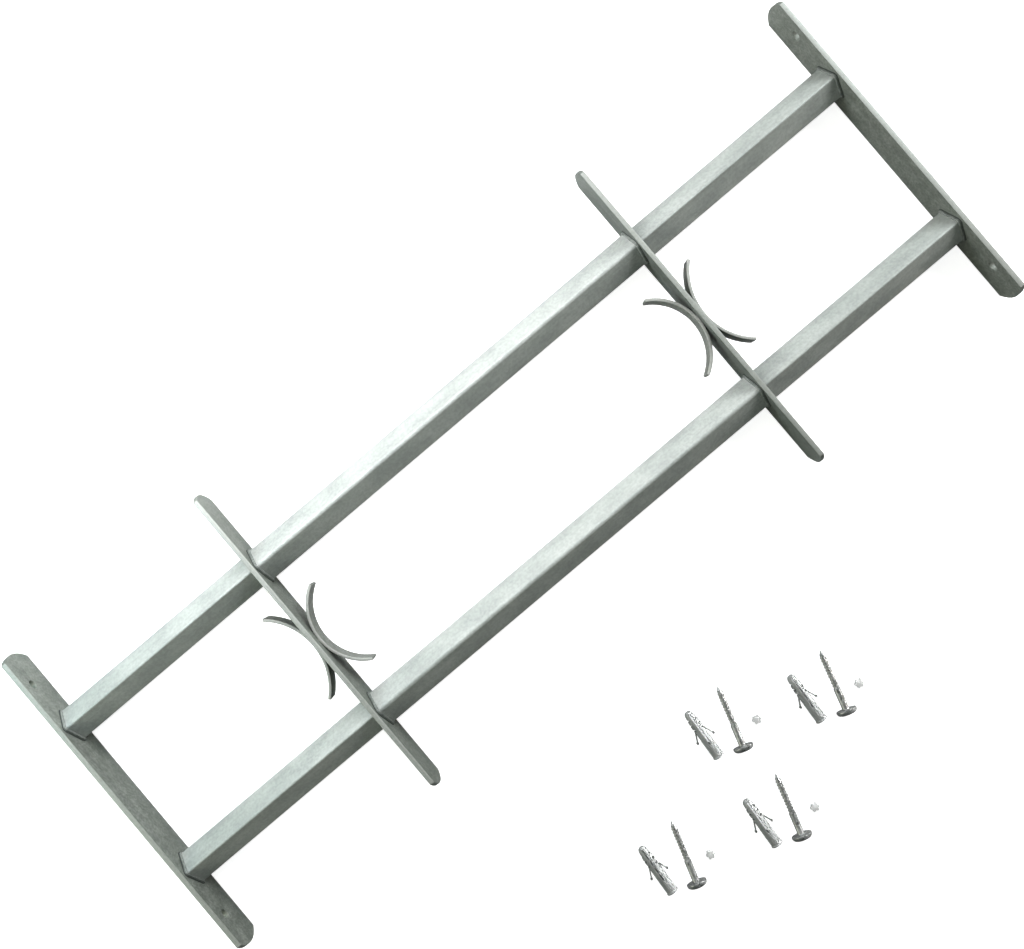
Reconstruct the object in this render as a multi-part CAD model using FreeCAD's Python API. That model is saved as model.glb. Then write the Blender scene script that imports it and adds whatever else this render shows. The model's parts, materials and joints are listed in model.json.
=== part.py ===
import FreeCAD, Part
import math
import os

# Extendable two-bar window grille and its fixing kit.  All lengths in millimetres.
# +X runs along the bars, +Y along the end plates, +Z away from the surface the grille lies on.
# The origin is the centre of the left end plate's wall face, level with the bar axes.

# Flat plates: two end plates and two cross plates, all cut from the same bar.
PLATE_LENGTH = 302.0
PLATE_WIDTH = 40.0
PLATE_THICKNESS = 4.0
PLATE_END_BULGE = 6.0        # how far the curved ends stand out past the corners
PLATE_CORNER_R = 1.5

# Wall screw holes in the end plates, set towards the front edge.
HOLE_SPACING = 240.0
HOLE_D = 8.5
HOLE_OFFSET_Z = 6.0

# Square tubes set on edge.  The inner tubes slide in the outer ones.
BAR_PITCH = 150.0
INNER_TUBE = 21.0
INNER_WALL = 1.2
INNER_CORNER_R = 1.5
SLIDE_GAP = 0.1              # on each flat side
OUTER_WALL = 0.9
OUTER_BORE = INNER_TUBE + 2 * SLIDE_GAP
OUTER_BORE_CORNER_R = 1.6
OUTER_TUBE = OUTER_BORE + 2 * OUTER_WALL
OUTER_CORNER_R = 3.2
PLATE_WINDOW_GAP = 0.3       # round an inner tube where it passes a cross plate

# Positions along the bars, as the grille is shown, part way out.
CENTRE_LENGTH = 404.0        # over the two cross plates
LEFT_GAP = 196.0             # end plate to cross plate, left
RIGHT_GAP = 200.0            # cross plate to end plate, right
INNER_TUBE_LENGTH = 345.0
CROSS_LEFT_X = PLATE_THICKNESS + LEFT_GAP
CROSS_RIGHT_X = CROSS_LEFT_X + CENTRE_LENGTH - PLATE_THICKNESS
END_RIGHT_X = CROSS_RIGHT_X + PLATE_THICKNESS + RIGHT_GAP

# Scroll strips, welded back to back on the cross plates.
STRIP_LENGTH = 96.0          # along the convex face
STRIP_WIDTH = 20.0
STRIP_THICKNESS = 2.5
SCROLL_R_FACING_CENTRE = 46.0
SCROLL_R_FACING_END = 56.0
SCROLL_OFFSET_Y = -1.5       # of the strips' middles from midway between the bars

# Screw: low mushroom head with a six-lobe recess, plain neck, coarse thread.
HEAD_R = 8.5
HEAD_HEIGHT = 4.2
HEAD_RIM = 1.0
HEAD_TOP_R = 5.0             # flat top, round the recess
DOME_MID_HEIGHT = 3.0        # a point half way round the head's domed edge
DOME_MID_R = 7.1
SCREW_LENGTH = 52.0          # under the head
NECK_R = 2.9
NECK_LENGTH = 18.0
THREAD_CORE_R = 2.1
THREAD_R = 2.8
THREAD_PITCH = 2.7
THREAD_TURNS = 10
THREAD_START = 19.0
THREAD_ROOT = 0.8
THREAD_FLANK = 0.8
THREAD_CREST = 0.2
TIP_LENGTH = 6.0
LOBE_COUNT = 6
LOBE_R = 1.0
LOBE_CIRCLE_R = 3.3
LOBE_CORE_R = 3.1
RECESS_DEPTH = 3.1
INSERT_GAP = 0.1
INSERT_THICKNESS = 2.8

# Wall plug: open sleeve, slit and toothed far end, two sprung wings.
PLUG_LENGTH = 44.5
PLUG_RIM_R = 5.1
PLUG_RIM_LENGTH = 1.0
PLUG_RIM_CHAMFER = 0.6
PLUG_R = 4.7
PLUG_TIP_R = 3.6
PLUG_TAPER_START = 34.0
PLUG_NOSE_LENGTH = 2.0
PLUG_NOSE_R = 2.4
PLUG_BORE_R = 2.8
PLUG_BORE_LENGTH = 13.0
PLUG_PILOT_R = 1.6
PLUG_PILOT_END = 39.0
SLIT_WIDTH = 0.9
SLIT_START = 13.5
TOOTH_COUNT = 3
TOOTH_PITCH = 4.6
TOOTH_START = 28.0
TOOTH_GAP = 1.7
TOOTH_DEPTH = 2.2
TOOTH_LEAN = 18.0
WING_LENGTH = 9.0
WING_THICKNESS = 1.2
WING_WIDTH = 2.2
WING_ROOT = 27.0
WING_SPREAD = 24.0
WING_KNOB_R = 1.1

# The kit lies beside the grille in four like sets: where each plug's tip is, and then,
# from that point, the screw's tip and the star insert.
KIT_SETS = ((390.2, -239.5), (473.1, -270.5), (290.2, -299.5), (380.2, -324.5))
PLUG_HEADING = 85.7
SCREW_TIP_AT = (32.7, 0.0)
SCREW_HEADING = 72.4
STAR_AT = (39.7, -41.9)
FLOOR_Z = -PLATE_WIDTH / 2

X_AXIS = FreeCAD.Vector(1, 0, 0)
Y_AXIS = FreeCAD.Vector(0, 1, 0)
Z_AXIS = FreeCAD.Vector(0, 0, 1)


def vec(x, y, z):
    return FreeCAD.Vector(x, y, z)


def edges_along_x(shape):
    """Straight edges that run along X."""
    found = []
    for edge in shape.Edges:
        step = edge.Vertexes[-1].Point - edge.Vertexes[0].Point
        if step.Length > 0 and abs(step.x) > 0.999 * step.Length:
            found.append(edge)
    return found


def square_bar(x, length, side, corner_r, y):
    """A solid square bar along X, set on edge, with rounded corners."""
    bar = Part.makeBox(length, side, side, vec(x, -side / 2, -side / 2))
    bar = bar.makeFillet(corner_r, edges_along_x(bar))
    bar.rotate(vec(0, 0, 0), X_AXIS, 45)
    bar.translate(vec(0, y, 0))
    return bar


def flat_plate(x):
    """A plate across the bars with its wall-side face at x and bulging ends."""
    half, corner = PLATE_LENGTH / 2, PLATE_LENGTH / 2 - PLATE_END_BULGE
    top, bottom = PLATE_WIDTH / 2, -PLATE_WIDTH / 2
    outline = Part.Wire([
        Part.makeLine(vec(x, -corner, bottom), vec(x, corner, bottom)),
        Part.Arc(vec(x, corner, bottom), vec(x, half, 0), vec(x, corner, top)).toShape(),
        Part.makeLine(vec(x, corner, top), vec(x, -corner, top)),
        Part.Arc(vec(x, -corner, top), vec(x, -half, 0), vec(x, -corner, bottom)).toShape(),
    ])
    plate = Part.Face(outline).extrude(vec(PLATE_THICKNESS, 0, 0))
    return plate.makeFillet(PLATE_CORNER_R, edges_along_x(plate))


def end_plate(x):
    """End plate with two screw holes for the wall."""
    plate = flat_plate(x)
    for side in (-1, 1):
        hole = Part.makeCylinder(
            HOLE_D / 2, 3 * PLATE_THICKNESS,
            vec(x - PLATE_THICKNESS, side * HOLE_SPACING / 2, HOLE_OFFSET_Z), X_AXIS)
        plate = plate.cut(hole)
    return plate


def cross_plate(x):
    """Cross plate with a window for each inner tube."""
    plate = flat_plate(x)
    side = INNER_TUBE + 2 * PLATE_WINDOW_GAP
    for row in (-1, 1):
        window = square_bar(x - 1, PLATE_THICKNESS + 2, side, OUTER_BORE_CORNER_R,
                            row * BAR_PITCH / 2)
        plate = plate.cut(window)
    return plate


def square_tube(x, length, side, corner_r, bore, bore_corner_r, y):
    tube = square_bar(x, length, side, corner_r, y)
    return tube.cut(square_bar(x - 1, length + 2, bore, bore_corner_r, y))


def inner_tube(x, row):
    return square_tube(x, INNER_TUBE_LENGTH, INNER_TUBE, INNER_CORNER_R,
                       INNER_TUBE - 2 * INNER_WALL, INNER_CORNER_R / 2,
                       row * BAR_PITCH / 2)


def outer_tube(row):
    """Sleeve between the two cross plates."""
    start = CROSS_LEFT_X + PLATE_THICKNESS
    return square_tube(start, CROSS_RIGHT_X - start, OUTER_TUBE, OUTER_CORNER_R,
                       OUTER_BORE, OUTER_BORE_CORNER_R, row * BAR_PITCH / 2)


def scroll(contact_x, direction, radius):
    """A strip bent to an arc whose back touches the plate face at contact_x.

    direction is +1 when the strip opens towards +X and -1 when it opens towards -X.
    """
    half = STRIP_LENGTH / radius / 2
    inside = radius - STRIP_THICKNESS

    def point(r, angle):
        return vec(contact_x + direction * (radius - r * math.cos(angle)),
                   SCROLL_OFFSET_Y + r * math.sin(angle), -STRIP_WIDTH / 2)

    outline = Part.Wire([
        Part.Arc(point(radius, -half), point(radius, 0), point(radius, half)).toShape(),
        Part.makeLine(point(radius, half), point(inside, half)),
        Part.Arc(point(inside, half), point(inside, 0), point(inside, -half)).toShape(),
        Part.makeLine(point(inside, -half), point(radius, -half)),
    ])
    return Part.Face(outline).extrude(vec(0, 0, STRIP_WIDTH))


def turned(profile):
    """Solid turned about X from (x, radius) points; four numbers are an arc's mid point and end."""
    edges = []
    last = profile[0]
    for item in profile[1:]:
        if len(item) == 4:
            mid, end = item[:2], item[2:]
            edges.append(Part.Arc(vec(*last, 0), vec(*mid, 0), vec(*end, 0)).toShape())
        else:
            end = item
            edges.append(Part.makeLine(vec(*last, 0), vec(*end, 0)))
        last = end
    edges.append(Part.makeLine(vec(*last, 0), vec(*profile[0], 0)))
    return Part.Face(Part.Wire(edges)).revolve(vec(0, 0, 0), X_AXIS, 360)


def six_lobe(x, length, inset):
    """Six-lobe prism along X, its outline drawn in by inset."""
    prism = Part.makeCylinder(LOBE_CORE_R - inset, length, vec(x, 0, 0), X_AXIS)
    for i in range(LOBE_COUNT):
        angle = 2 * math.pi * i / LOBE_COUNT
        centre = vec(x, LOBE_CIRCLE_R * math.cos(angle), LOBE_CIRCLE_R * math.sin(angle))
        prism = prism.fuse(Part.makeCylinder(LOBE_R - inset, length, centre, X_AXIS))
    return prism.removeSplitter()


def screw_blank():
    """Screw along X: underside of the head at x = 0, tip at x = SCREW_LENGTH."""
    profile = [(-HEAD_HEIGHT, 0), (-HEAD_HEIGHT, HEAD_TOP_R),
               (-DOME_MID_HEIGHT, DOME_MID_R, -HEAD_RIM, HEAD_R), (0, HEAD_R), (0, NECK_R),
               (NECK_LENGTH, NECK_R), (THREAD_START, THREAD_CORE_R)]
    for i in range(THREAD_TURNS):
        rise = THREAD_START + i * THREAD_PITCH + THREAD_ROOT
        crest = rise + THREAD_FLANK
        profile += [(rise, THREAD_CORE_R), (crest, THREAD_R), (crest + THREAD_CREST, THREAD_R),
                    (crest + THREAD_CREST + THREAD_FLANK, THREAD_CORE_R)]
    profile += [(SCREW_LENGTH - TIP_LENGTH, THREAD_CORE_R), (SCREW_LENGTH, 0)]
    screw = turned(profile)
    return screw.cut(six_lobe(-HEAD_HEIGHT - 1, RECESS_DEPTH + 1, 0))


def tooth_cutter(x, side):
    """A leaning slot across one side of the wall plug."""
    block = Part.makeBox(TOOTH_GAP, 2 * PLUG_R, 4 * PLUG_R, vec(0, 0, -2 * PLUG_R))
    block.rotate(vec(0, 0, 0), Z_AXIS, -side * TOOTH_LEAN)
    block = block.mirror(vec(0, 0, 0), Y_AXIS) if side < 0 else block
    block.translate(vec(x, side * (PLUG_R - TOOTH_DEPTH), 0))
    return block


def plug_wing(side):
    """A sprung wing that leans back towards the plug's mouth."""
    blade = Part.makeBox(WING_LENGTH, WING_THICKNESS, WING_WIDTH,
                         vec(-WING_LENGTH, 0, -WING_WIDTH / 2))
    knob = Part.makeCylinder(WING_KNOB_R, WING_WIDTH,
                             vec(-WING_LENGTH, WING_THICKNESS / 2, -WING_WIDTH / 2), Z_AXIS)
    wing = blade.fuse(knob)
    wing.rotate(vec(0, 0, 0), Z_AXIS, -WING_SPREAD)
    if side < 0:
        wing = wing.mirror(vec(0, 0, 0), Y_AXIS)
    wing.translate(vec(WING_ROOT, side * (PLUG_R - WING_THICKNESS), 0))
    return wing


def plug_blank():
    """Wall plug along X: mouth at x = 0, nose at x = PLUG_LENGTH."""
    nose = PLUG_LENGTH - PLUG_NOSE_LENGTH
    plug = turned([(0, 0), (0, PLUG_RIM_R), (PLUG_RIM_LENGTH, PLUG_RIM_R),
                   (PLUG_RIM_LENGTH + PLUG_RIM_CHAMFER, PLUG_R), (PLUG_TAPER_START, PLUG_R),
                   (nose, PLUG_TIP_R), (PLUG_LENGTH, PLUG_NOSE_R), (PLUG_LENGTH, 0)])
    for side in (-1, 1):
        for i in range(TOOTH_COUNT):
            plug = plug.cut(tooth_cutter(TOOTH_START + i * TOOTH_PITCH, side))
    for side in (-1, 1):
        plug = plug.fuse(plug_wing(side))
    plug = plug.cut(Part.makeCylinder(PLUG_BORE_R, PLUG_BORE_LENGTH + 1, vec(-1, 0, 0), X_AXIS))
    plug = plug.cut(Part.makeCylinder(PLUG_PILOT_R, PLUG_PILOT_END, vec(0, 0, 0), X_AXIS))
    slit = Part.makeBox(nose - SLIT_START, SLIT_WIDTH, 4 * PLUG_R,
                        vec(SLIT_START, -SLIT_WIDTH / 2, -2 * PLUG_R))
    return plug.cut(slit).removeSplitter()


def lay_down(shape, tilt, heading, tip_x, at):
    """Tilt a part made along X nose down, head it round, and set its nose over at."""
    shape.translate(vec(-tip_x, 0, 0))
    shape.rotate(vec(0, 0, 0), Y_AXIS, tilt)
    shape.rotate(vec(0, 0, 0), Z_AXIS, heading)
    lowest = shape.optimalBoundingBox(False).ZMin
    shape.translate(vec(at[0], at[1], FLOOR_Z - lowest))
    return shape


def screw(at):
    """A loose screw resting on its head's rim and its last full thread."""
    last_turn = THREAD_START + (THREAD_TURNS - 1) * THREAD_PITCH
    last_crest = last_turn + THREAD_ROOT + THREAD_FLANK + THREAD_CREST
    tilt = math.degrees(math.atan2(HEAD_R - THREAD_R, last_crest))
    tip = (at[0] + SCREW_TIP_AT[0], at[1] + SCREW_TIP_AT[1])
    return lay_down(screw_blank(), tilt, SCREW_HEADING, SCREW_LENGTH, tip)


def wall_plug(at):
    """A loose wall plug resting on its rim and the start of its taper."""
    tilt = math.degrees(math.atan2(PLUG_RIM_R - PLUG_R, PLUG_TAPER_START))
    return lay_down(plug_blank(), tilt, PLUG_HEADING, PLUG_LENGTH, at)


def star_insert(at):
    """A loose six-lobe insert, lying flat, that fills a screw's recess once it is in."""
    star = six_lobe(0, INSERT_THICKNESS, INSERT_GAP)
    star.rotate(vec(0, 0, 0), Y_AXIS, -90)
    star.rotate(vec(0, 0, 0), Z_AXIS, SCREW_HEADING)
    star.translate(vec(at[0] + STAR_AT[0], at[1] + STAR_AT[1], FLOOR_Z))
    return star


def build():
    """Every sub-part by node name."""
    parts = {
        "end_plate_left": end_plate(0),
        "end_plate_right": end_plate(END_RIGHT_X),
        "cross_plate_left": cross_plate(CROSS_LEFT_X),
        "cross_plate_right": cross_plate(CROSS_RIGHT_X),
        "scroll_left_outer": scroll(CROSS_LEFT_X, -1, SCROLL_R_FACING_END),
        "scroll_left_inner": scroll(CROSS_LEFT_X + PLATE_THICKNESS, 1, SCROLL_R_FACING_CENTRE),
        "scroll_right_inner": scroll(CROSS_RIGHT_X, -1, SCROLL_R_FACING_CENTRE),
        "scroll_right_outer": scroll(CROSS_RIGHT_X + PLATE_THICKNESS, 1, SCROLL_R_FACING_END),
    }
    for name, row in (("lower", -1), ("upper", 1)):
        parts["outer_tube_" + name] = outer_tube(row)
        parts["inner_tube_left_" + name] = inner_tube(PLATE_THICKNESS, row)
        parts["inner_tube_right_" + name] = inner_tube(END_RIGHT_X - INNER_TUBE_LENGTH, row)
    for number, at in enumerate(KIT_SETS, 1):
        parts["wall_plug_%d" % number] = wall_plug(at)
        parts["screw_%d" % number] = screw(at)
        parts["star_insert_%d" % number] = star_insert(at)
    return parts


os.makedirs("parts", exist_ok=True)
for node, shape in build().items():
    if len(shape.Solids) != 1 or not shape.isValid():
        raise ValueError("%s is not one sound solid" % node)
    shape.exportStep("parts/%s.step" % node)
    print(node, round(shape.Volume, 1))
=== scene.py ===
import json
import math

import bmesh
import bpy
from mathutils import Matrix, Vector

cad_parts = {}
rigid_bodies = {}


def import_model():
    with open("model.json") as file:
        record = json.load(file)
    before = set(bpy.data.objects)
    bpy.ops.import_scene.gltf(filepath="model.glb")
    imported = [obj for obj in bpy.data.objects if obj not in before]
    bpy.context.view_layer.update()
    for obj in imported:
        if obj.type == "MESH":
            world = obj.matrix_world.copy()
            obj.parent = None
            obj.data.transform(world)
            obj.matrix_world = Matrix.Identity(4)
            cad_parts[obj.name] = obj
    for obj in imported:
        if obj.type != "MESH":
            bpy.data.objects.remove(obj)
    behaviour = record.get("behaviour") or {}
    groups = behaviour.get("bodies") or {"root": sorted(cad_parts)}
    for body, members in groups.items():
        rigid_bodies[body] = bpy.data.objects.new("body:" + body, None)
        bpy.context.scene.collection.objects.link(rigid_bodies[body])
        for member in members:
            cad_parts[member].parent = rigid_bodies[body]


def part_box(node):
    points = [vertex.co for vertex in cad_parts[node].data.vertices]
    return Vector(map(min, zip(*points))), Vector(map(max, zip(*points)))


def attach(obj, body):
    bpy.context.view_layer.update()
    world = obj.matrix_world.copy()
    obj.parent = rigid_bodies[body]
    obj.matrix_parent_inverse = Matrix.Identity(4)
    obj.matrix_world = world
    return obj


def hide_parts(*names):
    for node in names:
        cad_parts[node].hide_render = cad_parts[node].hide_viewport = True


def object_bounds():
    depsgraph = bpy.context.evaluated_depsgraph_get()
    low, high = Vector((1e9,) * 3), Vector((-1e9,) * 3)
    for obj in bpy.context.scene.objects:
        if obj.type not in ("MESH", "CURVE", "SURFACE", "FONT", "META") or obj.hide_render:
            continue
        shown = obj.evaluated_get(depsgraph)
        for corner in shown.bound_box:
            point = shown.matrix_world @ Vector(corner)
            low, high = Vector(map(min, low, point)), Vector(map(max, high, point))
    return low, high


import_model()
CAD_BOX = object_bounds()

MM = 0.001

# Flat bar
END_BULGE = 6.0 * MM
PLATE_EDGE_R = 1.1 * MM
HOLE_R = 4.25 * MM
HOLE_SPACING = 240.0 * MM
HOLE_OFFSET_Z = 6.0 * MM
WINDOW_SIDE = 21.6 * MM
BAR_PITCH = 150.0 * MM
END_ROWS = 12                  # rows that a plate is cut in, to round its ends

# Square tube
INNER_TUBE = 21.0 * MM
INNER_WALL = 1.2 * MM
INNER_CORNER_R = 1.5 * MM
OUTER_TUBE = 23.0 * MM
OUTER_WALL = 0.9 * MM
OUTER_CORNER_R = 3.2 * MM

# Scroll strips
STRIP_LENGTH = 96.0 * MM
STRIP_THICKNESS = 2.5 * MM
STRIP_EDGE_R = 0.5 * MM
SCROLL_R_FACING_CENTRE = 46.0 * MM
SCROLL_R_FACING_END = 56.0 * MM

# Welds
WELD_STAND = 1.3 * MM          # how far a bead stands off its tube
WELD_LENGTH = 2.2 * MM
WELD_EDGE_R = 1.0 * MM
WELD_BITE = 0.4 * MM           # how much smaller the ring's opening is than the tube
RIPPLE_SIZE = 3.0 * MM
RIPPLE_HEIGHT = 0.35 * MM
# The near-black ring at a weld's toe is a painted shadow
TOE_SHADOW_STAND = 2.1 * MM
TOE_SHADOW_LENGTH = 0.4 * MM
TOE_SHADOW_EDGE_R = 0.1 * MM
TACK_R = 1.0 * MM
TACK_EDGE_R = 0.6 * MM
TACK_SINK = 0.6                # a tack's centre off the plate, in tack radii
TACK_INSET = 4.0 * MM          # how much shorter a tack is than its strip is wide
TACK_OFFSET = 9.0 * MM

# Screw
HEAD_R = 8.5 * MM
HEAD_RIM = 1.0 * MM
HEAD_HEIGHT = 4.2 * MM
HEAD_TOP_R = 5.0 * MM
HEAD_LIP = 0.25 * MM
CROWN_STEPS = 6
NECK_R = 2.9 * MM
NECK_LENGTH = 18.0 * MM
NECK_FILLET = 0.5 * MM
NECK_TAPER = 1.2 * MM
CORE_R = 2.1 * MM
THREAD_R = 2.8 * MM
THREAD_PITCH = 2.7 * MM
THREAD_HALF_WIDTH = 0.85 * MM
THREAD_SINK = 0.15 * MM
THREAD_TURNS = 12
THREAD_STEPS = 28              # to a turn
THREAD_START = 17.2 * MM
SCREW_LENGTH = 52.0 * MM
TIP_LENGTH = 6.0 * MM
TIP_BANDS = 14                 # steps in which the thread is drawn in over the tip
POINT_LENGTH = 0.4 * MM
POINT_ROOT_R = 0.22 * MM
POINT_R = 0.04 * MM
RECESS_DEPTH = 3.1 * MM
RECESS_OVERRUN = 1.0 * MM
SCREW_EDGE_R = 0.12 * MM
SCREW_TILT = 7.2               # nose down, in degrees
SCREW_HEADING = 72.4           # from +X towards +Y, in degrees

# Star insert
LOBES = 6
LOBE_TIP_R = 4.2 * MM
LOBE_VALLEY_R = 3.05 * MM
LOBE_GAP = 0.1 * MM            # recess wider, insert narrower
LOBE_SHARPNESS = 0.8           # below 1 widens the lobes
INSERT_THICKNESS = 2.8 * MM
INSERT_EDGE_R = 0.25 * MM

# Wall plug
PLUG_LENGTH = 44.5 * MM
PLUG_RIM_R = 5.1 * MM
PLUG_RIM_LENGTH = 1.0 * MM
PLUG_RIM_CHAMFER = 0.3 * MM
PLUG_R = 4.7 * MM
PLUG_SLEEVE_START = 1.5 * MM
PLUG_TAPER_START = 34 * MM
PLUG_TAPER_END = 42.5 * MM
PLUG_TIP_R = 3.6 * MM
PLUG_NOSE_LENGTH = 0.6 * MM
PLUG_SHOULDER_R = 2.9 * MM
PLUG_NOSE_R = 2.2 * MM
PLUG_EDGE_R = 0.1 * MM
PLUG_TILT = 0.7                # nose down, in degrees
PLUG_HEADING = 85.7            # from +X towards +Y, in degrees

# Wall plug: shallow grip grooves round the sleeve
GROOVE_START = 2.4 * MM
GROOVE_END = 17 * MM
GROOVE_PITCH = 1.2 * MM
GROOVE_DEPTH = 0.18 * MM
GROOVE_FLOOR = 0.45 * MM       # along the plug
GROOVE_RISE = 0.6 * MM         # where the sleeve is full size again
GROOVE_LAND = 1.05 * MM        # where the next groove begins

# Wall plug: openings.  The middle of each is measured from the mouth.
PLUG_BORE_R = 2.8 * MM
PLUG_BORE_MIDDLE = 6 * MM
PLUG_BORE_LENGTH = 15 * MM
PLUG_PILOT_R = 1.6 * MM
PLUG_PILOT_MIDDLE = 20 * MM
PLUG_PILOT_LENGTH = 38 * MM
SLIT_MIDDLE = 28 * MM
SLIT = (0.9 * MM, 14 * MM, 29 * MM)

# Wall plug: notches between the teeth, and the flats that the wings fold on to
NOTCH_COUNT = 3
NOTCH_START = 29.2 * MM
NOTCH_PITCH = 4.6 * MM
NOTCH = (5.4 * MM, 12 * MM, 1.7 * MM)
NOTCH_OUT = 0.5 * MM
NOTCH_LEAN = 0.35              # in radians
WING_BED_MIDDLE = 22.6 * MM
WING_BED = (1.6 * MM, 2.8 * MM, 9.4 * MM)
WING_BED_OUT = 0.2 * MM
WING_BED_LEAN = 0.1            # in radians

# Wall plug: wings
WING_LENGTH = 9.2 * MM
WING_THICKNESS = 1.1 * MM
WING_WIDTH = 2.2 * MM
WING_KNOB_R = 1.1 * MM
WING_EDGE_R = 0.15 * MM
WING_ROOT = 27 * MM
WING_SINK = 0.6 * MM
WING_SPREAD = 24               # in degrees

# Finishes
SMOOTH_BELOW = 32              # degrees between faces that shade as one
PLATE_RUBBED_AND_LIT_FROM = 19.3 * MM    # height either way at which the lighter edges begin: rubbed zinc and painted light
STRIP_RUBBED_AND_LIT_FROM = 9.5 * MM
NO_LIGHTER_EDGE = 1.0               # past any height, so a weld has no lighter edge

# Camera
LENS_MM = 39.28
SENSOR_MM = 36.0
CAMERA_AT = Vector((0.4186, -0.0087, 0.8972))
CAMERA_RIGHT = Vector((0.7631, -0.6460, -0.0165))
CAMERA_BACK = Vector((0.0132, -0.0099, 0.9999))

# Floor, backdrop and fill.  The floor looks whiter than the light it gives back.
FLOOR_Z = CAD_BOX[0].z
FLOOR_SIZE = 12
FLOOR_DROP = 0.2 * MM          # below the pieces, so that they never share a face with it
FLOOR_GIVEN_BACK = (0.42, 0.42, 0.42, 1)
FLOOR_SEEN = (0.95, 0.95, 0.95, 1)
FLOOR_GLOW = 0.8
BACKDROP = (0.93, 0.93, 0.93, 1)
FILL = (0.8, 1.0, 0.95, 1)
FILL_STRENGTH = 0.105

# Lights: name, place, size, watts, colour, aimed at, spread in degrees
LIGHTS = (
    ("key_near", (0.32, 0.30, 0.20), (0.6, 0.15), 2.6, (0.97, 0.96, 1.0), (0.32, 0.075, 0.0), 180),
    ("key_far", (0.50, 0.74, 0.60), (1.0, 0.45), 1.9, (1.0, 0.97, 0.9), (0.42, 0.05, 0.0), 180),
    ("cool", (-0.08, 0.33, 0.30), (0.3, 0.2), 0.55, (0.4, 0.9, 1.0), (0.1, 0.06, 0.0), 180),
    ("top", (0.40, 0.0, 1.6), (1.4, 1.0), 2.0, (1.0, 0.95, 0.95), (0.4, 0.0, 0.0), 180),
    ("side", (1.5, 0.3, 0.6), (0.7, 0.7), 18.2, (0.93, 0.98, 1.0), (0.2, 0.0, 0.0), 180),
    ("low_right", (1.4, -0.4, 0.5), (0.6, 0.6), 1.7, (1.0, 0.8, 0.7), (0.3, 0.0, 0.0), 180),
    ("left", (-0.7, 0.1, 0.5), (0.6, 0.6), 5.9, (1.0, 1.0, 0.84), (0.6, 0.0, 0.0), 180),
)
# A low light from the right that falls on the fixing kit only
KIT_LIGHT = ("kit", (2.3, -0.42, 0.5), (0.2, 0.2), 1.3, (1.0, 1.0, 1.0), (0.4, -0.31, -0.02), 20)

# ---------------------------------------------------------------- modelling helpers


def clear_selection():
    if bpy.context.object and bpy.context.object.mode != "OBJECT":
        bpy.ops.object.mode_set(mode="OBJECT")
    bpy.ops.object.select_all(action="DESELECT")


def edit(piece):
    clear_selection()
    piece.select_set(True)
    bpy.context.view_layer.objects.active = piece
    bpy.ops.object.mode_set(mode="EDIT")
    bpy.ops.mesh.select_all(action="DESELECT")


def leave_edit():
    bpy.ops.object.mode_set(mode="OBJECT")


def pick(piece, kind, test):
    """In edit mode, selects the verts, edges or faces that pass a test, and nothing else."""
    bpy.ops.mesh.select_mode(type={"verts": "VERT", "edges": "EDGE", "faces": "FACE"}[kind])
    bpy.ops.mesh.select_all(action="DESELECT")
    mesh = bmesh.from_edit_mesh(piece.data)
    for part in getattr(mesh, kind):
        if test(part):
            part.select_set(True)
    mesh.select_flush_mode()
    bmesh.update_edit_mesh(piece.data)


def settle(piece):
    """Puts the piece's place, turn and size into its mesh."""
    clear_selection()
    piece.select_set(True)
    bpy.context.view_layer.objects.active = piece
    bpy.ops.object.transform_apply(location=True, rotation=True, scale=True)


def apply_modifier(piece, kind, **settings):
    clear_selection()
    piece.select_set(True)
    bpy.context.view_layer.objects.active = piece
    modifier = piece.modifiers.new(kind.lower(), kind)
    for key, value in settings.items():
        setattr(modifier, key, value)
    bpy.ops.object.modifier_apply(modifier=modifier.name)


def round_edges(piece, width, segments=2, angle=35):
    apply_modifier(piece, "BEVEL", width=width, segments=segments, limit_method="ANGLE",
                   angle_limit=math.radians(angle), use_clamp_overlap=True)


def cut(piece, cutter):
    """Takes the cutter's shape out of the piece, and throws the cutter away."""
    apply_modifier(piece, "BOOLEAN", operation="DIFFERENCE", object=cutter, solver="EXACT")
    bpy.data.objects.remove(cutter)


def join(piece, *others):
    clear_selection()
    for other in (piece, *others):
        other.select_set(True)
    bpy.context.view_layer.objects.active = piece
    bpy.ops.object.join()
    return piece


def copy_of(piece):
    twin = piece.copy()
    twin.data = piece.data.copy()
    bpy.context.scene.collection.objects.link(twin)
    return twin


def outward(piece):
    """Merges doubled points and turns every face outwards."""
    edit(piece)
    bpy.ops.mesh.select_all(action="SELECT")
    bpy.ops.mesh.remove_doubles(threshold=1e-6)
    bpy.ops.mesh.normals_make_consistent(inside=False)
    leave_edit()


def finish_piece(piece, name, body, material, slot, *nodes):
    """Names a modelled piece, gives it its finish and ties it to its CAD body."""
    clear_selection()
    piece.select_set(True)
    bpy.context.view_layer.objects.active = piece
    bpy.ops.object.shade_smooth_by_angle(angle=math.radians(SMOOTH_BELOW))
    piece.name = name
    piece.data.name = name
    piece.data.materials.clear()
    piece.data.materials.append(material)
    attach(piece, body)
    if nodes:
        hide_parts(*nodes)


def middle(node):
    """The centre and size of a CAD node's box."""
    lo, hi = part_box(node)
    return (Vector(lo) + Vector(hi)) / 2, Vector(hi) - Vector(lo)


def add_box(centre, size, turn=(0, 0, 0)):
    clear_selection()
    bpy.ops.mesh.primitive_cube_add(size=1, location=centre, rotation=turn, scale=size)
    piece = bpy.context.object
    settle(piece)
    return piece


def add_round(centre, radius, length, turn=(0, 0, 0), sides=40):
    clear_selection()
    bpy.ops.mesh.primitive_cylinder_add(vertices=sides, radius=radius, depth=length,
                                        location=centre, rotation=turn)
    piece = bpy.context.object
    settle(piece)
    return piece


# ---------------------------------------------------------------- flat plates


def bulge_at(height, half_width):
    """How far the plate's end stands out past its corners at a height off the centre line."""
    radius = (half_width ** 2 + END_BULGE ** 2) / (2 * END_BULGE)
    return math.sqrt(radius ** 2 - height ** 2) - (radius - END_BULGE)


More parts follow.
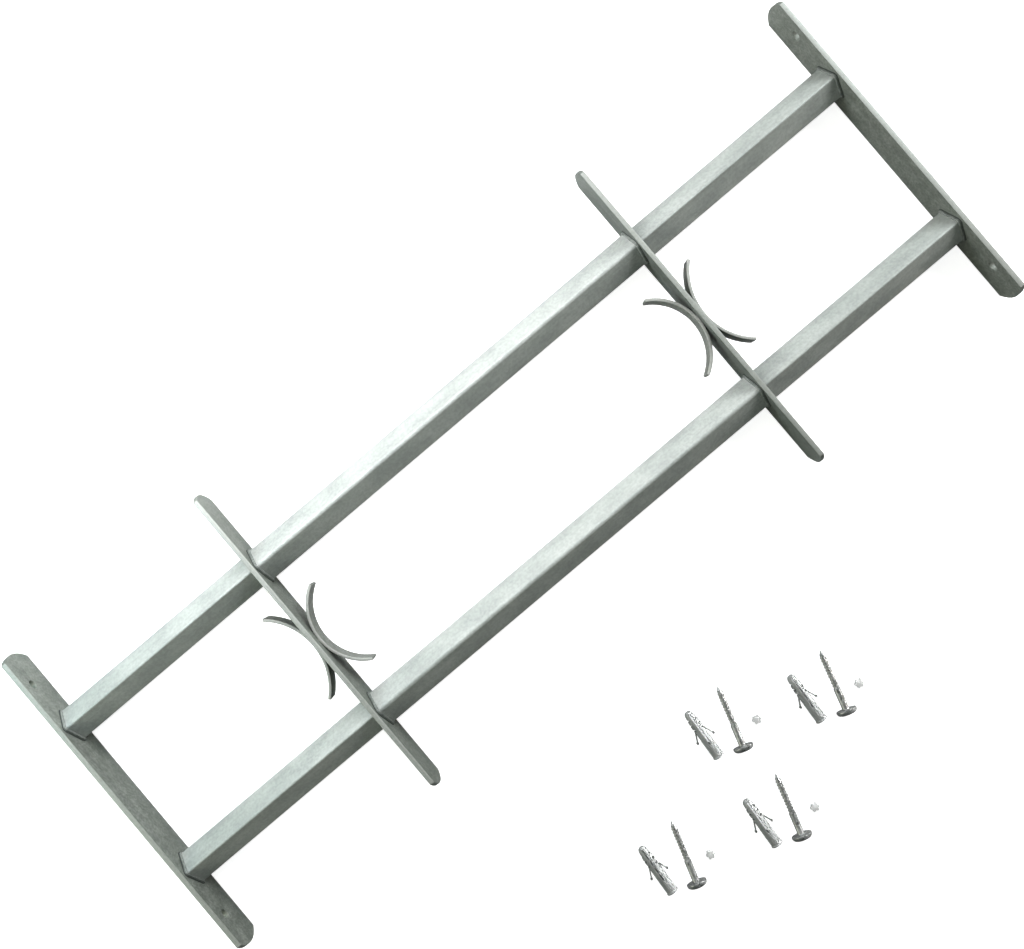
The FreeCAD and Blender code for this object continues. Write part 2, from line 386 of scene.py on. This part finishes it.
def flat_plate(node):
    """A length of flat bar with bulging ends, cut in rows so that the ends can be rounded."""
    centre, size = middle(node)
    straight = size.y - 2 * END_BULGE
    piece = add_box(centre, (size.x, straight, size.z))
    half_width = size.z / 2
    edit(piece)
    for row in range(1, END_ROWS):
        angle = math.pi * (row / END_ROWS - 0.5)
        bpy.ops.mesh.select_all(action="SELECT")
        bpy.ops.mesh.bisect(plane_co=(0, 0, centre.z + half_width * math.sin(angle)),
                            plane_no=(0, 0, 1))
    for side in (-1, 1):
        for row in range(1, END_ROWS):
            height = half_width * math.sin(math.pi * (row / END_ROWS - 0.5))
            pick(piece, "verts", lambda v: abs(v.co.y - centre.y - side * straight / 2) < 1e-5
                 and abs(v.co.z - centre.z - height) < 1e-5)
            bpy.ops.transform.translate(value=(0, side * bulge_at(height, half_width), 0))
    leave_edit()
    return piece


def end_plate(name, body):
    piece = flat_plate(name)
    centre, size = middle(name)
    for side in (-1, 1):
        at = centre + Vector((0, side * HOLE_SPACING / 2, HOLE_OFFSET_Z))
        cut(piece, add_round(at, HOLE_R, 4 * size.x, (0, math.pi / 2, 0), 48))
    round_edges(piece, PLATE_EDGE_R, 3)
    finish_piece(piece, name + "_bar", body, PLATE_STEEL, "galvanised_plate", name)


def cross_plate(name, finish):
    piece = flat_plate(name)
    centre, size = middle(name)
    for row in (-1, 1):
        at = centre + Vector((0, row * BAR_PITCH / 2, 0))
        cut(piece, add_box(at, (4 * size.x, WINDOW_SIDE, WINDOW_SIDE), (math.pi / 4, 0, 0)))
    round_edges(piece, PLATE_EDGE_R, 3)
    finish_piece(piece, name + "_bar", "centre_section", finish, "galvanised_plate", name)


# ---------------------------------------------------------------- tubes


def square_tube(node, body, corner_r, wall):
    """A square tube set on edge: bevelled box with open ends, given its wall inwards."""
    centre, size = middle(node)
    side = (size.z + 2 * corner_r * (math.sqrt(2) - 1)) / math.sqrt(2)
    piece = add_box(centre, (size.x, side, side), (math.pi / 4, 0, 0))
    edit(piece)
    pick(piece, "edges", lambda e: abs((e.verts[0].co - e.verts[1].co).x) > size.x / 2)
    bpy.ops.mesh.bevel(offset=corner_r, segments=6, affect="EDGES")
    pick(piece, "faces", lambda f: abs(f.normal.x) > 0.9)
    bpy.ops.mesh.delete(type="ONLY_FACE")
    leave_edit()
    apply_modifier(piece, "SOLIDIFY", thickness=wall, offset=-1, use_even_offset=True)
    finish_piece(piece, node + "_section", body, TUBE_STEEL, "galvanised_tube", node)


# ---------------------------------------------------------------- scroll strips


def scroll_strip(node, radius):
    """A strip of flat steel rolled to an arc, its back against the cross plate."""
    centre, size = middle(node)
    plate, plate_size = middle("cross_plate_left" if "left" in node else "cross_plate_right")
    opens = 1 if centre.x > plate.x else -1
    axis_x = plate.x + opens * (plate_size.x / 2 + radius)
    half = STRIP_LENGTH / radius / 2
    start = math.pi - half if opens > 0 else -half
    mid_r = radius - STRIP_THICKNESS / 2
    clear_selection()
    bpy.ops.mesh.primitive_plane_add(size=1)
    piece = bpy.context.object
    piece.scale = (STRIP_THICKNESS, size.z, 1)
    piece.rotation_euler = (math.pi / 2, 0, start)
    piece.location = (axis_x + mid_r * math.cos(start), centre.y + mid_r * math.sin(start),
                      centre.z)
    settle(piece)
    edit(piece)
    bpy.ops.mesh.select_all(action="SELECT")
    bpy.ops.mesh.spin(steps=36, angle=-2 * half, center=(axis_x, centre.y, 0), axis=(0, 0, 1))
    leave_edit()
    outward(piece)
    round_edges(piece, STRIP_EDGE_R, 3, 50)
    finish_piece(piece, node + "_strip", "centre_section", STRIP_STEEL, "galvanised_strip", node)


# ---------------------------------------------------------------- welds


def square_ring(face_x, away, length, y, side, corner_r, stand):
    """A ring round a square bar, its back on a plate's face."""
    at = (face_x + away * length / 2, y, 0)
    outer, turn = side + 2 * stand, (math.pi / 4, 0, 0)
    ring = add_box(at, (length, outer, outer), turn)
    hole = add_box(at, (4 * length, side - WELD_BITE, side - WELD_BITE), turn)
    for block, radius in ((ring, corner_r + stand), (hole, corner_r)):
        edit(block)
        pick(block, "edges", lambda e: abs((e.verts[0].co - e.verts[1].co).x) > length / 2)
        bpy.ops.mesh.bevel(offset=radius, segments=8, affect="EDGES")
        leave_edit()
    cut(ring, hole)
    return ring


def weld_ring(name, body, face_x, away, y, side, corner_r):
    """A small weld bead round a square bar, and a near-black ring at its toe on the plate: painted
    shadow.
    """
    bead = square_ring(face_x, away, WELD_LENGTH, y, side, corner_r, WELD_STAND)
    round_edges(bead, WELD_EDGE_R, 5, 60)
    apply_modifier(bead, "SUBSURF", levels=1, render_levels=1, subdivision_type="SIMPLE")
    ripple = bpy.data.textures.new(name + "_ripple", "CLOUDS")
    ripple.noise_scale = RIPPLE_SIZE
    apply_modifier(bead, "DISPLACE", texture=ripple, strength=RIPPLE_HEIGHT, mid_level=0.5)
    finish_piece(bead, name, body, WELD_STEEL, "galvanised_plate")
    # A near-black ring on the plate at the weld's toe: painted shadow
    toe_shadow = square_ring(face_x, away, TOE_SHADOW_LENGTH, y, side, corner_r, TOE_SHADOW_STAND)
    round_edges(toe_shadow, TOE_SHADOW_EDGE_R, 1, 60)
    finish_piece(toe_shadow, name + "_toe", body, PAINTED_SHADOW_DARK, "galvanised_plate")


def strip_tacks(node):
    """Two short welds in the gaps beside the line where a strip's back meets its plate, near-black
    as painted shade in the crease.
    """
    centre, size = middle(node)
    plate, plate_size = middle("cross_plate_left" if "left" in node else "cross_plate_right")
    opens = 1 if centre.x > plate.x else -1
    face_x = plate.x + opens * plate_size.x / 2
    for side in (-1, 1):
        at = (face_x + opens * TACK_SINK * TACK_R, centre.y + side * TACK_OFFSET, 0)
        # Near-black tacks in the crease between strip and plate: painted shade
        tack = add_round(at, TACK_R, size.z - TACK_INSET, sides=16)
        round_edges(tack, TACK_EDGE_R, 3, 60)
        finish_piece(tack, "tack_%s_%s" % (node, "top" if side > 0 else "bottom"),
                     "centre_section", PAINTED_SHADOW_DARK, "galvanised_strip")


# ---------------------------------------------------------------- fixing kit


def star(tip_r, valley_r, thickness, steps=6):
    """A six-lobe star, flat, its foot at z = 0."""
    piece = add_round((0, 0, thickness / 2), tip_r, thickness, sides=LOBES * 2 * steps)
    edit(piece)
    count = LOBES * 2 * steps
    for i in range(count):
        swing = math.cos(2 * math.pi * i / (2 * steps))
        radius = valley_r + (tip_r - valley_r) * (0.5 + 0.5 * swing) ** LOBE_SHARPNESS
        angle = 2 * math.pi * i / count
        there = Vector((math.sin(angle), math.cos(angle))) * tip_r
        pick(piece, "verts", lambda v: (v.co.xy - there).length < 1e-6)
        k = radius / tip_r
        bpy.ops.transform.resize(value=(k, k, 1), center_override=(0, 0, 0))
    leave_edit()
    return piece


def turned_up(steps, sides=40):
    """A round bar drawn up from z = 0 through (height, radius) steps, closed at both ends."""
    first_z, first_r = steps[0]
    clear_selection()
    bpy.ops.mesh.primitive_circle_add(vertices=sides, radius=first_r, fill_type="NGON",
                                      location=(0, 0, first_z))
    piece = bpy.context.object
    settle(piece)
    edit(piece)
    bpy.ops.mesh.select_all(action="SELECT")
    last_z, last_r = first_z, first_r
    for z, r in steps[1:]:
        bpy.ops.mesh.extrude_region_move(TRANSFORM_OT_translate={"value": (0, 0, z - last_z)})
        k = r / last_r
        bpy.ops.transform.resize(value=(k, k, 1), center_override=(0, 0, 0))
        last_z, last_r = z, r
    leave_edit()
    outward(piece)
    return piece


def screw_shape():
    """Screw up Z: head's underside at z = 0, tip at the top."""
    crown = [(-HEAD_HEIGHT, HEAD_TOP_R)]
    for i in range(1, CROWN_STEPS + 1):
        a = math.pi / 2 * i / CROWN_STEPS
        crown.append((-HEAD_HEIGHT + (HEAD_HEIGHT - HEAD_RIM) * (1 - math.cos(a)),
                      HEAD_TOP_R + (HEAD_R - HEAD_TOP_R) * math.sin(a)))
    shank = [(-HEAD_LIP, HEAD_R), (0, HEAD_R - HEAD_LIP), (0, NECK_R + NECK_FILLET),
             (NECK_FILLET, NECK_R), (NECK_LENGTH, NECK_R), (NECK_LENGTH + NECK_TAPER, CORE_R),
             (SCREW_LENGTH - TIP_LENGTH, CORE_R), (SCREW_LENGTH - POINT_LENGTH, POINT_ROOT_R),
             (SCREW_LENGTH, POINT_R)]
    piece = turned_up(crown + shank, 48)
    socket = star(LOBE_TIP_R + LOBE_GAP, LOBE_VALLEY_R + LOBE_GAP, RECESS_DEPTH + RECESS_OVERRUN)
    socket.location = (0, 0, -HEAD_HEIGHT - RECESS_OVERRUN)
    settle(socket)
    cut(piece, socket)
    round_edges(piece, SCREW_EDGE_R, 2, 40)
    return join(piece, thread())


def thread():
    """The helical ridge, screwed up the core and drawn in over the tip."""
    clear_selection()
    bpy.ops.mesh.primitive_circle_add(vertices=6, radius=1, location=(0, 0, 0),
                                      rotation=(math.pi / 2, 0, 0))
    ridge = bpy.context.object
    ridge.scale = (THREAD_R - CORE_R + THREAD_SINK, THREAD_HALF_WIDTH, 1)
    ridge.location = (CORE_R - THREAD_SINK, 0, THREAD_START)
    settle(ridge)
    apply_modifier(ridge, "SCREW", axis="Z", angle=2 * math.pi, screw_offset=THREAD_PITCH,
                   iterations=THREAD_TURNS, steps=THREAD_STEPS, render_steps=THREAD_STEPS,
                   use_merge_vertices=False)
    edit(ridge)
    bpy.ops.mesh.select_mode(type="EDGE")
    bpy.ops.mesh.select_non_manifold()
    bpy.ops.mesh.edge_face_add()
    for band in range(TIP_BANDS):
        low_z = SCREW_LENGTH - TIP_LENGTH * (1 - band / TIP_BANDS)
        high_z = low_z + TIP_LENGTH / TIP_BANDS
        pick(ridge, "verts", lambda v: low_z <= v.co.z < high_z)
        k = 1 - (band + 0.5) / TIP_BANDS
        bpy.ops.transform.resize(value=(k, k, 1), center_override=(0, 0, 0))
    leave_edit()
    outward(ridge)
    return ridge


def plug_shape():
    """Wall plug up Z: mouth at z = 0, nose at the top."""
    steps = [(0, PLUG_RIM_R - PLUG_RIM_CHAMFER), (PLUG_RIM_CHAMFER, PLUG_RIM_R),
             (PLUG_RIM_LENGTH, PLUG_RIM_R), (PLUG_SLEEVE_START, PLUG_R)]
    z = GROOVE_START
    while z < GROOVE_END:
        steps += [(z, PLUG_R - GROOVE_DEPTH), (z + GROOVE_FLOOR, PLUG_R - GROOVE_DEPTH),
                  (z + GROOVE_RISE, PLUG_R), (z + GROOVE_LAND, PLUG_R)]
        z += GROOVE_PITCH
    steps += [(PLUG_TAPER_START, PLUG_R), (PLUG_TAPER_END, PLUG_TIP_R),
              (PLUG_LENGTH - PLUG_NOSE_LENGTH, PLUG_SHOULDER_R), (PLUG_LENGTH, PLUG_NOSE_R)]
    piece = turned_up(steps)
    for side in (-1, 1):
        for i in range(NOTCH_COUNT):
            at = (side * (PLUG_R + NOTCH_OUT), 0, NOTCH_START + NOTCH_PITCH * i)
            cut(piece, add_box(at, NOTCH, (0, -side * NOTCH_LEAN, 0)))
        at = (side * (PLUG_R + WING_BED_OUT), 0, WING_BED_MIDDLE)
        cut(piece, add_box(at, WING_BED, (0, side * WING_BED_LEAN, 0)))
    cut(piece, add_round((0, 0, PLUG_BORE_MIDDLE), PLUG_BORE_R, PLUG_BORE_LENGTH))
    cut(piece, add_round((0, 0, PLUG_PILOT_MIDDLE), PLUG_PILOT_R, PLUG_PILOT_LENGTH, sides=24))
    cut(piece, add_box((0, 0, SLIT_MIDDLE), SLIT))
    round_edges(piece, PLUG_EDGE_R, 1, 40)
    join(piece, plug_wing(-1), plug_wing(1))
    piece.rotation_euler = (0, 0, math.pi / 2)
    settle(piece)
    return piece


def plug_wing(side):
    """A sprung wing with a rounded end, rooted beside the teeth and leaning to the mouth."""
    blade = add_box((0, 0, -WING_LENGTH / 2), (WING_THICKNESS, WING_WIDTH, WING_LENGTH))
    knob = add_round((0, 0, -WING_LENGTH), WING_KNOB_R, WING_WIDTH, (math.pi / 2, 0, 0), 20)
    wing = join(blade, knob)
    round_edges(wing, WING_EDGE_R, 2, 50)
    wing.rotation_euler = (0, -side * math.radians(WING_SPREAD), 0)
    wing.location = (side * (PLUG_R - WING_SINK), 0, WING_ROOT)
    settle(wing)
    return wing


def lie_at(piece, node, tilt, heading):
    """Lays a piece made up Z along its heading, nose down by tilt, and fits it on its CAD box."""
    along = Matrix.Rotation(math.radians(heading), 4, "Z")
    down = Matrix.Rotation(math.radians(tilt), 4, "Y")
    piece.matrix_world = along @ down @ Matrix.Rotation(math.pi / 2, 4, "Y")
    settle(piece)
    low = Vector([min(v.co[i] for v in piece.data.vertices) for i in range(3)])
    high = Vector([max(v.co[i] for v in piece.data.vertices) for i in range(3)])
    box_lo, box_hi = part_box(node)
    shift = (Vector(box_lo) + Vector(box_hi) - low - high) / 2
    shift.z = box_lo[2] - low.z
    piece.location = shift
    settle(piece)


def fixing_kit():
    """Models one screw, plug and insert, and lays four copies of each."""
    screw, plug = screw_shape(), plug_shape()
    insert = star(LOBE_TIP_R - LOBE_GAP, LOBE_VALLEY_R - LOBE_GAP, INSERT_THICKNESS)
    round_edges(insert, INSERT_EDGE_R, 2, 60)
    for number in (1, 2, 3, 4):
        for shape, node, tilt, heading, finish, slot in (
                (screw, "screw_%d" % number, SCREW_TILT, SCREW_HEADING, ZINC, "zinc_screw"),
                (plug, "wall_plug_%d" % number, PLUG_TILT, PLUG_HEADING, NYLON, "plug_plastic"),
                (insert, "star_insert_%d" % number, -90, SCREW_HEADING, ALLOY, "insert_metal")):
            piece = copy_of(shape)
            lie_at(piece, node, tilt, heading)
            finish_piece(piece, node + "_piece", node, finish, slot, node)
    for shape in (screw, plug, insert):
        bpy.data.objects.remove(shape)


# ---------------------------------------------------------------- finishes


class Finish:
    """A material whose colour, roughness and bump come from a few patterns."""

    def __init__(self, name, metallic):
        self.material = bpy.data.materials.new(name)
        self.material.use_nodes = True
        self.nodes = self.material.node_tree.nodes
        self.links = self.material.node_tree.links
        self.shader = self.nodes["Principled BSDF"]
        self.shader.inputs["Metallic"].default_value = metallic
        self.place = self.nodes.new("ShaderNodeTexCoord").outputs["Object"]

    def mapped(self, scale):
        node = self.nodes.new("ShaderNodeMapping")
        node.inputs["Scale"].default_value = scale
        self.links.new(self.place, node.inputs["Vector"])
        return node.outputs["Vector"]

    def noise(self, scale, size, detail=4.0, rough=0.55):
        """Cloudy noise, stretched by a scale along each axis; a larger size is finer."""
        node = self.nodes.new("ShaderNodeTexNoise")
        node.inputs["Scale"].default_value = size
        node.inputs["Detail"].default_value = detail
        node.inputs["Roughness"].default_value = rough
        self.links.new(self.mapped(scale), node.inputs["Vector"])
        return node.outputs["Fac"]

    def cells(self, size):
        """Flat random greys in crystal-like cells."""
        node = self.nodes.new("ShaderNodeTexVoronoi")
        node.inputs["Scale"].default_value = size
        self.links.new(self.place, node.inputs["Vector"])
        grey = self.nodes.new("ShaderNodeSeparateColor")
        self.links.new(node.outputs["Color"], grey.inputs["Color"])
        return grey.outputs["Red"]

    def ramp(self, value, *stops):
        node = self.nodes.new("ShaderNodeValToRGB")
        while len(node.color_ramp.elements) < len(stops):
            node.color_ramp.elements.new(0.5)
        for element, (at, colour) in zip(node.color_ramp.elements, stops):
            element.position = at
            element.color = (*colour, 1)
        self.links.new(value, node.inputs["Fac"])
        return node.outputs["Color"]

    def band(self, value, low, high):
        """Spreads the middle of a noise over the range from low to high."""
        node = self.nodes.new("ShaderNodeMapRange")
        node.inputs["From Min"].default_value = 0.3
        node.inputs["From Max"].default_value = 0.7
        node.inputs["To Min"].default_value = low
        node.inputs["To Max"].default_value = high
        self.links.new(value, node.inputs["Value"])
        return node.outputs["Result"]

    def multiply(self, a, b, amount):
        node = self.nodes.new("ShaderNodeMix")
        node.data_type = "RGBA"
        node.blend_type = "MULTIPLY"
        node.inputs["Factor"].default_value = amount
        self.links.new(a, node.inputs["A"])
        self.links.new(b, node.inputs["B"])
        return node.outputs["Result"]

    def rubbed_and_lit_edges(self, base, uneven, edge, rubbed_and_lit_from):
        """Lightens the narrow front and back edges, unevenly, beyond a height each way: rubbed
        zinc, and painted light on the front edge that faces the lamps.
        """
        split = self.nodes.new("ShaderNodeSeparateXYZ")
        self.links.new(self.place, split.inputs["Vector"])
        height = self.nodes.new("ShaderNodeMath")
        height.operation = "ABSOLUTE"
        self.links.new(split.outputs["Z"], height.inputs[0])
        reach = self.nodes.new("ShaderNodeMapRange")
        reach.inputs["From Min"].default_value = rubbed_and_lit_from
        reach.inputs["From Max"].default_value = rubbed_and_lit_from + 0.5 * MM
        self.links.new(height.outputs["Value"], reach.inputs["Value"])
        # The edge colour is lighter than the face: rubbed zinc, and painted light where the edge
        # faces the lamps
        bright = self.ramp(uneven, (0.3, tuple(0.8 * c for c in edge)), (0.7, edge))
        node = self.nodes.new("ShaderNodeMix")
        node.data_type = "RGBA"
        self.links.new(reach.outputs["Result"], node.inputs["Factor"])
        self.links.new(base, node.inputs["A"])
        self.links.new(bright, node.inputs["B"])
        return node.outputs["Result"]

    def colour(self, value):
        self.links.new(value, self.shader.inputs["Base Color"])

    def roughness(self, value):
        self.links.new(value, self.shader.inputs["Roughness"])

    def bump(self, *layers):
        """Each layer is (height, distance in millimetres)."""
        last = None
        for height, distance in layers:
            node = self.nodes.new("ShaderNodeBump")
            node.inputs["Distance"].default_value = distance * MM
            self.links.new(height, node.inputs["Height"])
            if last:
                self.links.new(last, node.inputs["Normal"])
            last = node.outputs["Normal"]
        self.links.new(last, self.shader.inputs["Normal"])


def rolled_tube_steel():
    """Galvanised tube: satin zinc with draw marks along the bar and faint cloudy patches."""
    f = Finish("galvanised_tube_satin", 0.22)
    draw = f.noise((0.6, 60, 60), size=14, detail=3)
    clouds = f.noise((0.5, 1, 1), size=60, detail=5)
    grain = f.noise((1, 1, 1), size=420, detail=3, rough=0.7)
    tone = f.ramp(clouds, (0.38, (0.35, 0.375, 0.355)), (0.62, (0.43, 0.455, 0.43)))
    lines = f.ramp(draw, (0.4, (0.90, 0.90, 0.89)), (0.6, (1, 1, 1)))
    specks = f.ramp(grain, (0.4, (0.80, 0.80, 0.80)), (0.6, (1, 1, 1)))
    f.colour(f.multiply(f.multiply(tone, lines, 0.8), specks, 0.8))
    f.roughness(f.band(draw, 0.48, 0.62))
    f.bump((draw, 0.03), (grain, 0.04))
    return f.material


def dull_plate_steel(name, dark, light, edge, rubbed_and_lit_from):
    """Hot-dip galvanised flat bar: dull and mottled, with zinc crystals and lighter edges of rubbed
    zinc and painted light.
    """
    f = Finish(name, 0.3)
    mottle = f.noise((1, 1, 1), size=110, detail=6, rough=0.7)
    runs = f.noise((1, 5, 1), size=22, detail=3)
    crystals = f.cells(300)
    grain = f.noise((1, 1, 1), size=460, detail=3, rough=0.7)
    tone = f.ramp(mottle, (0.38, dark), (0.62, light))
    patches = f.ramp(runs, (0.35, (0.89, 0.91, 0.89)), (0.65, (1, 1, 1)))
    spangle = f.ramp(crystals, (0.0, (0.84, 0.84, 0.84)), (1.0, (1, 1, 1)))
    specks = f.ramp(grain, (0.4, (0.66, 0.66, 0.66)), (0.6, (1, 1, 1)))
    mixed = f.multiply(f.multiply(tone, patches, 1.0), spangle, 0.7)
    mixed = f.multiply(mixed, specks, 0.9)
    f.colour(f.rubbed_and_lit_edges(mixed, grain, edge, rubbed_and_lit_from))
    f.roughness(f.band(mottle, 0.46, 0.64))
    f.bump((mottle, 0.08), (grain, 0.08))
    return f.material


def painted_shadow_finish():
    """Painted shadow and oxide at the toe of a weld and in the creases beside the strips: nearly
    black, dry.
    """
    f = Finish("weld_toe_painted_shadow", 0.1)
    soot = f.noise((1, 1, 1), size=400)
    f.colour(f.ramp(soot, (0.3, (0.022, 0.030, 0.026)), (0.7, (0.06, 0.07, 0.062))))
    f.roughness(f.band(soot, 0.6, 0.85))
    f.bump((soot, 0.1))
    return f.material


def bright_zinc():
    """Zinc plating on the screws: bright and cool, a little uneven."""
    f = Finish("bright_zinc_plating", 0.7)
    uneven = f.noise((1, 1, 1), size=260)
    grain = f.noise((1, 1, 1), size=900, detail=2)
    f.colour(f.ramp(uneven, (0.3, (0.16, 0.165, 0.16)), (0.7, (0.27, 0.275, 0.27))))
    f.roughness(f.band(uneven, 0.24, 0.38))
    f.bump((grain, 0.015))
    return f.material


def grey_nylon():
    """Moulded nylon: mid grey, slightly waxy, with flow marks and a fine mould texture."""
    f = Finish("grey_nylon_moulding", 0.0)
    flow = f.noise((1, 1, 1), size=120, detail=3)
    grain = f.noise((1, 1, 1), size=900, detail=2)
    f.colour(f.ramp(flow, (0.3, (0.17, 0.175, 0.17)), (0.7, (0.24, 0.245, 0.24))))
    f.roughness(f.band(flow, 0.34, 0.48))
    f.bump((grain, 0.012))
    return f.material


def matt_alloy():
    """Pressed light alloy: matt, pale, faintly clouded."""
    f = Finish("matt_light_alloy", 0.2)
    cloudy = f.noise((1, 1, 1), size=300)
    grain = f.noise((1, 1, 1), size=900, detail=2)
    f.colour(f.ramp(cloudy, (0.3, (0.47, 0.47, 0.465)), (0.7, (0.55, 0.55, 0.545))))
    f.roughness(f.band(cloudy, 0.5, 0.65))
    f.bump((grain, 0.015))
    return f.material


# The third colour of each finish is its lighter narrow edge: rubbed zinc and painted light
PLATE_STEEL = dull_plate_steel("galvanised_plate_dull", (0.19, 0.208, 0.182), (0.265, 0.285, 0.253),
                               (0.35, 0.365, 0.34), PLATE_RUBBED_AND_LIT_FROM)
# A darker copy of the plate finish for the right cross plate: painted shade
SHADED_PLATE_STEEL = dull_plate_steel("galvanised_plate_painted_shade", (0.145, 0.163, 0.145),
                                      (0.20, 0.222, 0.20), (0.31, 0.325, 0.30), PLATE_RUBBED_AND_LIT_FROM)
STRIP_STEEL = dull_plate_steel("galvanised_strip_dull", (0.20, 0.21, 0.19), (0.28, 0.293, 0.265),
                               (0.42, 0.43, 0.40), STRIP_RUBBED_AND_LIT_FROM)
WELD_STEEL = dull_plate_steel("weld_bead_dull", (0.20, 0.22, 0.205), (0.30, 0.32, 0.30),
                              (0.3, 0.3, 0.3), NO_LIGHTER_EDGE)
# Near-black finish for the weld toes and the strip tacks: painted shadow
PAINTED_SHADOW_DARK = painted_shadow_finish()
TUBE_STEEL = rolled_tube_steel()
ZINC = bright_zinc()
NYLON = grey_nylon()
ALLOY = matt_alloy()

# ---------------------------------------------------------------- the grille


def grille():
    end_plate("end_plate_left", "left_frame")
    end_plate("end_plate_right", "right_frame")
    cross_plate("cross_plate_left", PLATE_STEEL)
    # The right cross plate takes the darker copy of the plate finish: painted shade
    cross_plate("cross_plate_right", SHADED_PLATE_STEEL)
    for row in ("upper", "lower"):
        square_tube("outer_tube_" + row, "centre_section", OUTER_CORNER_R, OUTER_WALL)
        square_tube("inner_tube_left_" + row, "left_frame", INNER_CORNER_R, INNER_WALL)
        square_tube("inner_tube_right_" + row, "right_frame", INNER_CORNER_R, INNER_WALL)
    for side in ("left", "right"):
        scroll_strip("scroll_%s_inner" % side, SCROLL_R_FACING_CENTRE)
        scroll_strip("scroll_%s_outer" % side, SCROLL_R_FACING_END)


def grille_welds():
    for y, row in ((BAR_PITCH / 2, "upper"), (-BAR_PITCH / 2, "lower")):
        weld_ring("weld_end_left_" + row, "left_frame",
                  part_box("end_plate_left")[1][0], 1, y, INNER_TUBE, INNER_CORNER_R)
        weld_ring("weld_end_right_" + row, "right_frame",
                  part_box("end_plate_right")[0][0], -1, y, INNER_TUBE, INNER_CORNER_R)
        weld_ring("weld_cross_left_" + row, "centre_section",
                  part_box("cross_plate_left")[1][0], 1, y, OUTER_TUBE, OUTER_CORNER_R)
        weld_ring("weld_cross_right_" + row, "centre_section",
                  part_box("cross_plate_right")[0][0], -1, y, OUTER_TUBE, OUTER_CORNER_R)
    for side in ("left", "right"):
        strip_tacks("scroll_%s_inner" % side)
        strip_tacks("scroll_%s_outer" % side)


grille()
grille_welds()
fixing_kit()

# ---------------------------------------------------------------- camera, floor and light


def add_camera():
    """Straight down on the grille, turned so that the bars run up to the right."""
    data = bpy.data.cameras.new("camera")
    data.sensor_width = SENSOR_MM
    data.lens = LENS_MM
    camera = bpy.data.objects.new("camera", data)
    bpy.context.scene.collection.objects.link(camera)
    back = CAMERA_BACK.normalized()
    up = back.cross(CAMERA_RIGHT).normalized()
    right = up.cross(back)
    turn = Matrix((right, up, back)).transposed()
    camera.matrix_world = Matrix.Translation(CAMERA_AT) @ turn.to_4x4()
    bpy.context.scene.camera = camera


def add_area_light(name, at, size, power, colour, aim, spread):
    data = bpy.data.lights.new(name, "AREA")
    data.shape = "RECTANGLE"
    data.size, data.size_y = size
    data.energy = power
    data.color = colour
    data.spread = math.radians(spread)
    light = bpy.data.objects.new(name, data)
    bpy.context.scene.collection.objects.link(light)
    light.location = at
    light.rotation_euler = (Vector(aim) - Vector(at)).to_track_quat("-Z", "Y").to_euler()
    light.visible_camera = False
    return light


def light_kit():
    kit = bpy.data.collections.new("fixing_kit")
    for piece in bpy.context.scene.objects:
        if piece.name.startswith(("screw_", "wall_plug_", "star_insert_")):
            kit.objects.link(piece)
    add_area_light(*KIT_LIGHT).light_linking.receiver_collection = kit


def add_studio():
    clear_selection()
    bpy.ops.mesh.primitive_plane_add(size=FLOOR_SIZE, location=(0.4, -0.1, FLOOR_Z - FLOOR_DROP))
    floor = bpy.context.object
    floor.name = "floor"
    floor.data.materials.append(plain_floor())
    bpy.context.scene.world = studio_world()
    bpy.context.scene.view_settings.view_transform = "Standard"
    for light in LIGHTS:
        add_area_light(*light)
    light_kit()


def studio_world():
    """A dim even fill on the metal, seen by the camera as a pale backdrop."""
    world = bpy.data.worlds.new("studio")
    world.use_nodes = True
    nodes, links = world.node_tree.nodes, world.node_tree.links
    fill = nodes["Background"]
    fill.inputs["Color"].default_value = FILL
    fill.inputs["Strength"].default_value = FILL_STRENGTH
    backdrop = nodes.new("ShaderNodeBackground")
    backdrop.inputs["Color"].default_value = BACKDROP
    path = nodes.new("ShaderNodeLightPath")
    mix = nodes.new("ShaderNodeMixShader")
    links.new(path.outputs["Is Camera Ray"], mix.inputs[0])
    links.new(fill.outputs["Background"], mix.inputs[1])
    links.new(backdrop.outputs["Background"], mix.inputs[2])
    links.new(mix.outputs["Shader"], nodes["World Output"].inputs["Surface"])
    return world


def plain_floor():
    """White paper that looks evenly lit, but gives only part of its light back to the metal."""
    paint = bpy.data.materials.new("floor_white")
    paint.use_nodes = True
    nodes, links = paint.node_tree.nodes, paint.node_tree.links
    shader = nodes["Principled BSDF"]
    shader.inputs["Roughness"].default_value = 0.9
    shader.inputs["Emission Color"].default_value = (1, 1, 1, 1)
    path = nodes.new("ShaderNodeLightPath")
    mix = nodes.new("ShaderNodeMix")
    mix.data_type = "RGBA"
    mix.inputs["A"].default_value = FLOOR_GIVEN_BACK
    mix.inputs["B"].default_value = FLOOR_SEEN
    links.new(path.outputs["Is Camera Ray"], mix.inputs["Factor"])
    links.new(mix.outputs["Result"], shader.inputs["Base Color"])
    glow = nodes.new("ShaderNodeMath")
    glow.operation = "MULTIPLY"
    glow.inputs[1].default_value = FLOOR_GLOW
    links.new(path.outputs["Is Camera Ray"], glow.inputs[0])
    links.new(glow.outputs["Value"], shader.inputs["Emission Strength"])
    return paint


add_camera()
add_studio()
